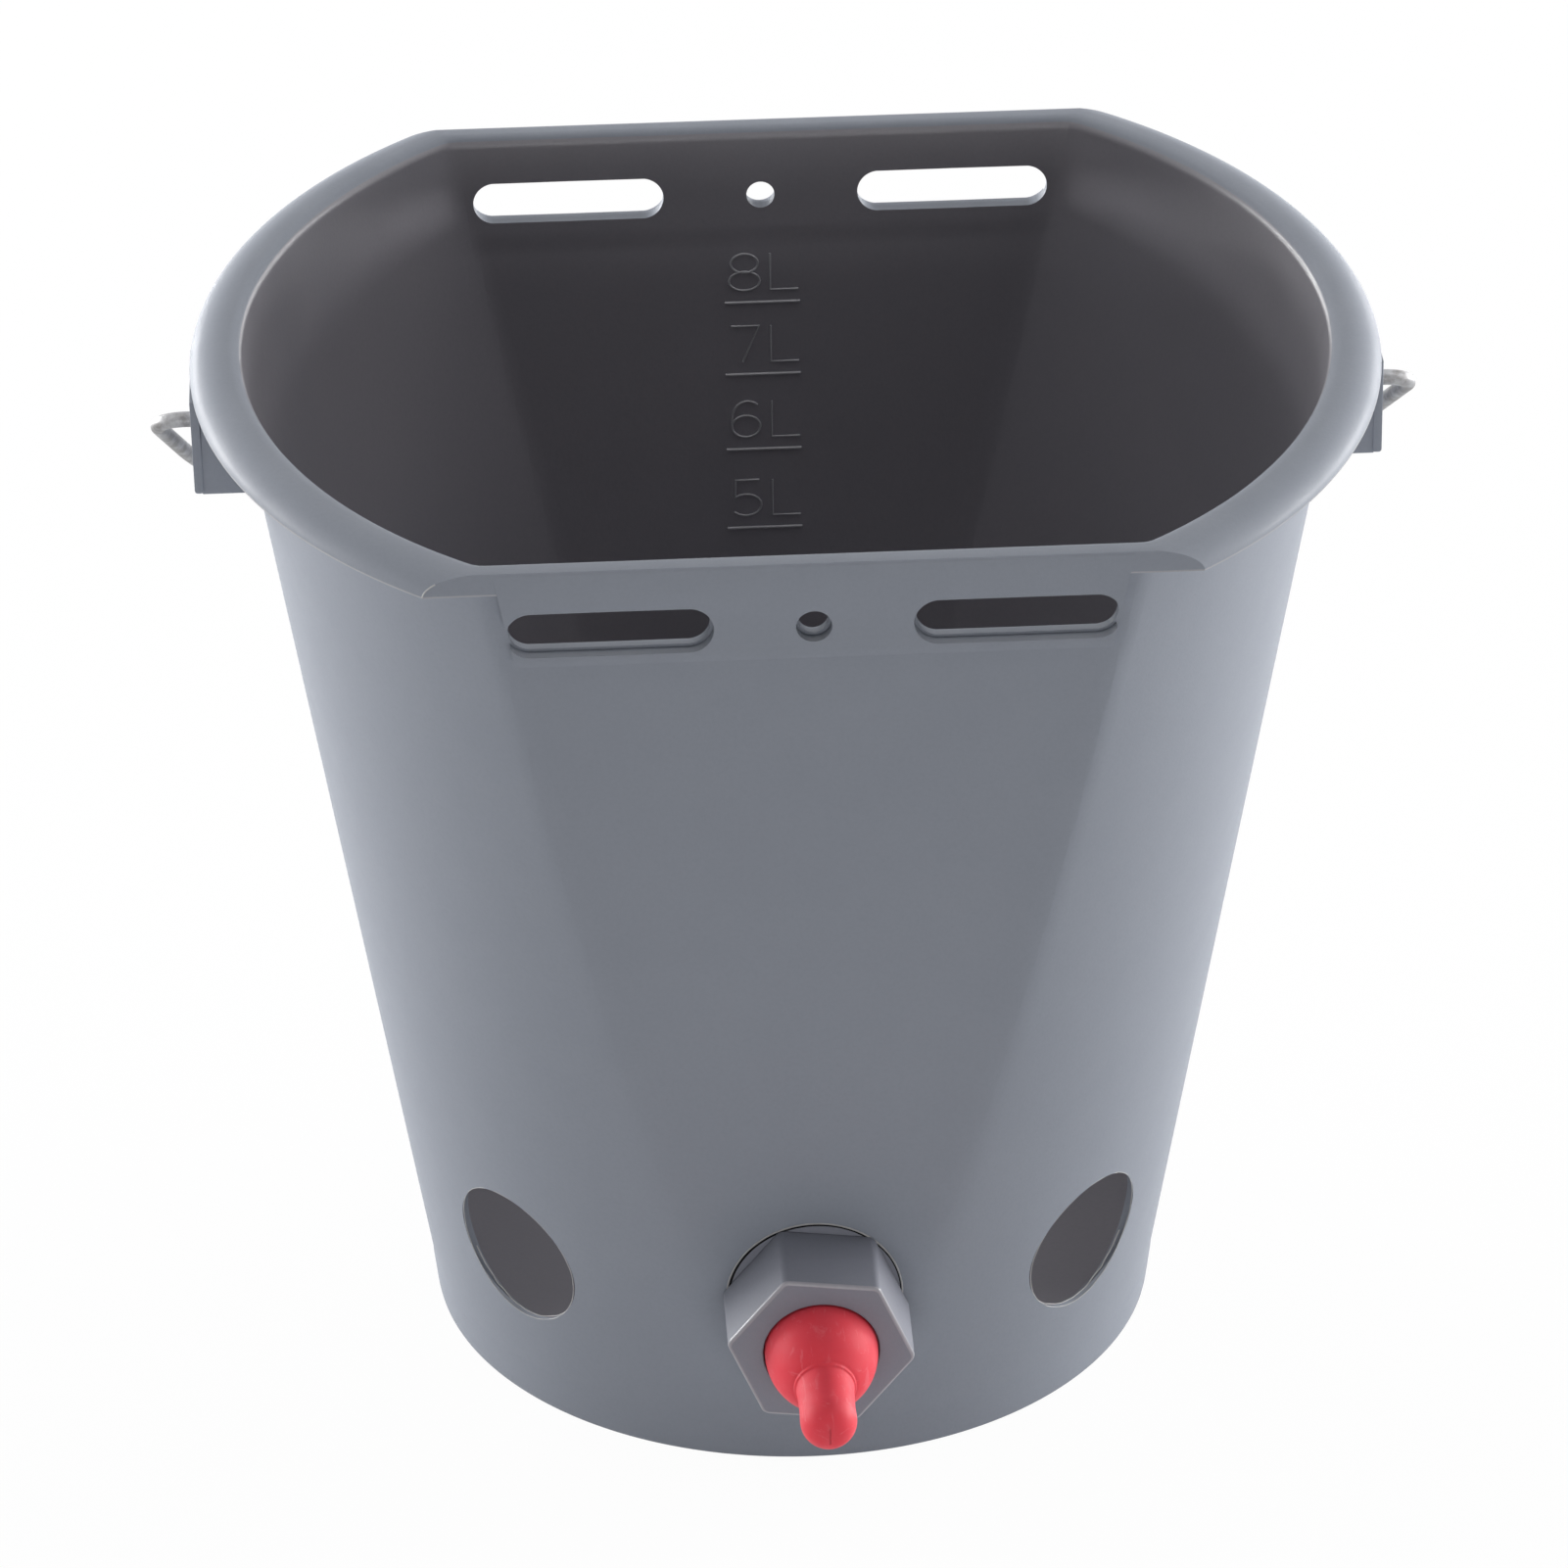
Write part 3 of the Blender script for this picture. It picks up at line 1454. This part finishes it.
@dataclass
class ValveBody:
    """The valve's plastic body: boss and flange inside the bucket, threaded spigot outside."""

    frame: ValveFrame = field(default_factory=ValveFrame)
    spigot: float = 17.0
    spigot_end: float = 16.0
    spigot_inner: float = 14.2
    flange: float = 25.0
    flange_back: float = -8.0
    flange_front: float = -5.0
    boss_across: float = 24.0
    boss_back: float = -12.0
    inlet: float = 6.0
    chamber: float = 8.6
    chamber_outer: float = 10.4
    chamber_end: float = 11.4915
    pitch: float = 4.0
    shoulder_radius: float = 21.95

    def build(self) -> Piece:
        """Spins the body with its thread's core, adds the boss and winds the thread.

        Returns:
            The body on the valve's axis.
        """
        body = spin_profile("valve_shell", self.section())
        smooth(body)
        inside = [body, self.boss(), self.thread()]
        shoulder = self.shoulder()
        for piece in inside:
            paint(piece, VALVE_PLASTIC)
        paint(shoulder, NUT_PLASTIC)
        piece = join("valve_shell", [*inside, shoulder])
        self.frame.seat(piece)
        return piece

    @property
    def root(self) -> float:
        """The radius of the thread's core."""
        return self.spigot - 1.1

    def section(self) -> Pairs:
        """Draws half the body's section, from the inlet round the flange and the spigot and back.

        Returns:
            Points as (radius, distance along the axis).
        """
        rim, back, front = self.flange, self.flange_back, self.flange_front
        root, end, inner = self.root, self.spigot_end, self.spigot_inner
        wall, inlet = self.chamber_outer, self.inlet
        section = [(inlet, back), (rim - 0.6, back), (rim - 0.15, back + 0.2), (rim, back + 0.7), (rim, front - 0.5)]
        section += [(rim - 0.4, front), (self.spigot, front), (self.spigot, 0.6), (root, 1.4), (root, end - 0.6)]
        section += [(root - 0.5, end), (inner + 0.4, end), (inner, end - 0.4), (inner, front + 0.6)]
        section += [(inner - 0.6, front), (wall + 0.6, front), (wall, front + 0.6), (wall, self.chamber_end)]
        section += [(self.chamber, self.chamber_end), (self.chamber, front), (inlet + 0.3, front)]
        return section + [(inlet, front - 0.3), (inlet, back)]

    def shoulder(self) -> Piece:
        """The thin collar that fills the wall's hole round the spigot, level with the flat face.

        Returns:
            The collar.
        """
        rim = self.shoulder_radius
        section = [(self.spigot - 0.5, -0.04), (rim - 0.1, -0.04), (rim, 0.0), (rim, 0.03), (rim - 0.1, 0.07)]
        collar = spin_profile("shoulder", [*section, (self.spigot - 0.5, 0.07), section[0]])
        for vertex in collar.data.vertices:
            if vertex.co.xy.length > (self.spigot + 1) * MM:
                vertex.co += Vector((-self.frame.shift + 0.15, self.frame.sag - 0.15, 0)) * MM
        return collar

    def boss(self) -> Piece:
        """The six-sided boss round the inlet, for a spanner.

        Returns:
            The boss.
        """
        boss = hexagon("boss", self.boss_across, self.boss_back, self.flange_back + 0.5)
        cut(boss, rod("cutter", self.inlet, (0, 0, -20), (0, 0, 0), 96))
        round_edges(boss, 0.5, 3)
        smooth(boss, 40)
        return boss

    def thread(self) -> Piece:
        """The spigot's thread: a blunt ridge wound round its core.

        Returns:
            The ridge.
        """
        root = self.root
        foot, top = root - 0.3, self.spigot - 0.15
        outline = [(foot, 0), (root, 0), (top, 0.55), (top, 1.35), (root, 1.9), (foot, 1.9)]
        ridge = draw_line("thread", [(x, 0, z) for x, z in outline])
        with edit_mode(ridge):
            bpy.ops.mesh.edge_face_add()
        apply_modifier(
            ridge,
            "SCREW",
            axis="Z",
            angle=tau,
            screw_offset=self.pitch * MM,
            iterations=3,
            steps=96,
            render_steps=96,
        )
        ridge.data.transform(Matrix.Translation((0, 0, 1.5 * MM)))
        mend(ridge)
        smooth(ridge)
        return ridge


# Floor, light and camera


@dataclass
class Studio:
    """The plain pale floor, the white surround and the soft lamps."""

    floor_size: float = 12.0
    surround: float = 0.11
    shadow_share: float = 0.03

    def build(self) -> None:
        """Lays the floor, hangs the lamps and lights the surround."""
        self.lay_floor()
        self.light_world()
        for name, place, size, watts in (
            ("left_panel", (-1.6, 0.5, 0.12), (1.2, 0.5), 14.5),
            ("right_panel", (1.6, 0.5, 0.12), (1.2, 0.5), 33.9),
            ("left_back_panel", (-1.2, 1.1, 0.2), (1.2, 0.5), 33.0),
            ("right_back_panel", (1.2, 1.1, 0.2), (1.2, 0.5), 14.6),
            ("left_high_panel", (-1.3, 0.1, 1.3), (1.0, 1.0), 2.9),
            ("right_high_panel", (1.3, 0.1, 1.3), (1.0, 1.0), 6.5),
            ("front_panel", (0, -2.2, 0.2), (1.6, 0.5), 15.2),
            ("top_panel", (0, 0.2, 1.9), (1.2, 1.2), 10.0),
        ):
            self.lamp(name, place, size, watts)
        self.lamp("rear_top_panel", (0, 1.5, 1.4), (1.6, 1.0), 5.3, 0.2)

    def white_when_seen(self, tree: NodeTree, plain: Socket, white: str, share: float = 0.0) -> Socket:
        """Mixes a shader with plain white for rays from the camera and for reflections.

        Args:
            tree: The node tree.
            plain: The shader that all other rays meet.
            white: The kind of the white node.
            share: How much of the plain shader the white rays meet too.

        Returns:
            The mixed shader.
        """
        path = tree.add("ShaderNodeLightPath")
        seen = path.outputs["Is Camera Ray"]
        for ray in ("Is Glossy Ray", "Is Transmission Ray"):
            seen = tree.calculate("MAXIMUM", seen, path.outputs[ray])
        shown = tree.add(white, Color=WHITE, Strength=1.0)
        mixed = tree.add("ShaderNodeMixShader")
        for place, socket in enumerate((tree.calculate("MULTIPLY", seen, 1 - share), plain, shown.outputs[0])):
            tree.link(socket, mixed.inputs[place])
        return mixed.outputs[0]

    def lay_floor(self) -> None:
        """Lays a pale floor that is white to the camera and keeps a soft shadow."""
        clear_selection()
        bpy.ops.mesh.primitive_plane_add(size=self.floor_size)
        floor = bpy.context.object
        floor.name = "floor"
        tree = NodeTree(bpy.data.materials.new("pale_floor"))
        cloth = tree.add("ShaderNodeBsdfDiffuse", Color=(0.86, 0.86, 0.87, 1))
        white = self.white_when_seen(tree, cloth.outputs[0], "ShaderNodeEmission", self.shadow_share)
        floor.data.materials.append(tree.close(white))

    def light_world(self) -> None:
        """Lights the scene evenly from all round, and shows white to the camera."""
        tree = NodeTree(bpy.data.worlds.new("white_surround"), "ShaderNodeOutputWorld")
        plain = tree.add("ShaderNodeBackground", Color=WHITE, Strength=self.surround)
        bpy.context.scene.world = tree.close(self.white_when_seen(tree, plain.outputs[0], "ShaderNodeBackground"))

    def lamp(
        self, name: str, place: Sequence[float], size: tuple[float, float], watts: float, height: float = 0.15
    ) -> None:
        """Hangs a soft panel that faces the bucket.

        Args:
            name: The lamp's name.
            place: Where it hangs, in metres.
            size: Its width and height, in metres.
            watts: Its power.
            height: The height on the bucket's axis that it faces, in metres.
        """
        clear_selection()
        bpy.ops.object.light_add(type="AREA", location=place)
        lamp = bpy.context.object
        lamp.name = name
        lamp.data.shape = "RECTANGLE"
        lamp.data.size, lamp.data.size_y = size
        lamp.data.energy = watts
        lamp.rotation_euler = (Vector((0, 0, height)) - Vector(place)).to_track_quat("-Z", "Y").to_euler()


@dataclass
class PhotoCamera:
    """The camera at the photograph's viewing angle, as fitted to the rim, wall and foot."""

    azimuth: float = -3.259
    elevation: float = 31.049
    roll: float = -0.43
    distance: float = 3.0971
    focal_px: float = 12157.7
    sensor: float = 36.0
    target: tuple[float, float, float] = (0, 0, 0.1414)
    offset_px: tuple[float, float] = (4.9, 19.9)

    def build(self) -> None:
        """Places the camera and makes it the scene's own."""
        a, e, r = (radians(v) for v in (self.azimuth, self.elevation, self.roll))
        back = Vector((sin(a) * cos(e), -cos(a) * cos(e), sin(e)))
        right = Vector((cos(a), sin(a), 0))
        up = back.cross(right)
        right, up = cos(r) * right + sin(r) * up, -sin(r) * right + cos(r) * up
        clear_selection()
        bpy.ops.object.camera_add()
        camera = bpy.context.object
        camera.name = "photo_camera"
        turn = Matrix((right, up, back)).transposed().to_4x4()
        camera.matrix_world = Matrix.Translation(Vector(self.target) + self.distance * back) @ turn
        lens = camera.data
        lens.sensor_width = self.sensor
        lens.sensor_fit = "HORIZONTAL"
        lens.lens = self.sensor * self.focal_px / IMAGE_PX
        lens.shift_x = -self.offset_px[0] / IMAGE_PX
        lens.shift_y = self.offset_px[1] / IMAGE_PX
        lens.clip_end = 50
        bpy.context.scene.camera = camera


def dress(node: Piece, finish: Finish) -> None:
    """Gives a CAD node that stays a better material.

    Args:
        node: The CAD node, whose mesh stays as it is.
        finish: The finish.
    """
    if not node.material_slots:
        node.data.materials.append(None)
    for entry in node.material_slots:
        entry.material = finish.material()


def main() -> None:
    """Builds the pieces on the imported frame, then the studio and the camera."""
    logging.basicConfig(level=logging.INFO, format="%(name)s: %(message)s")
    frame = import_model()
    bpy.context.scene.view_settings.view_transform = "Standard"
    hand_over(BucketMoulding().build(), "bucket", ["bucket"])
    hand_over(WireBail().build(), "bail", ["bail_handle"])
    hand_over(UnionNut().build(), "nut", ["union_nut"])
    hand_over(RubberTeat().build(), "teat", ["teat"])
    hand_over(ValveBody().build(), "bucket", ["valve_body"])
    for name, finish in (("valve_gasket", GASKET_RUBBER), ("valve_ball", BALL_PLASTIC), ("ball_cage", VALVE_PLASTIC)):
        dress(frame["nodes"][name], finish)
    Studio().build()
    PhotoCamera().build()


if __name__ == "__main__":
    main()
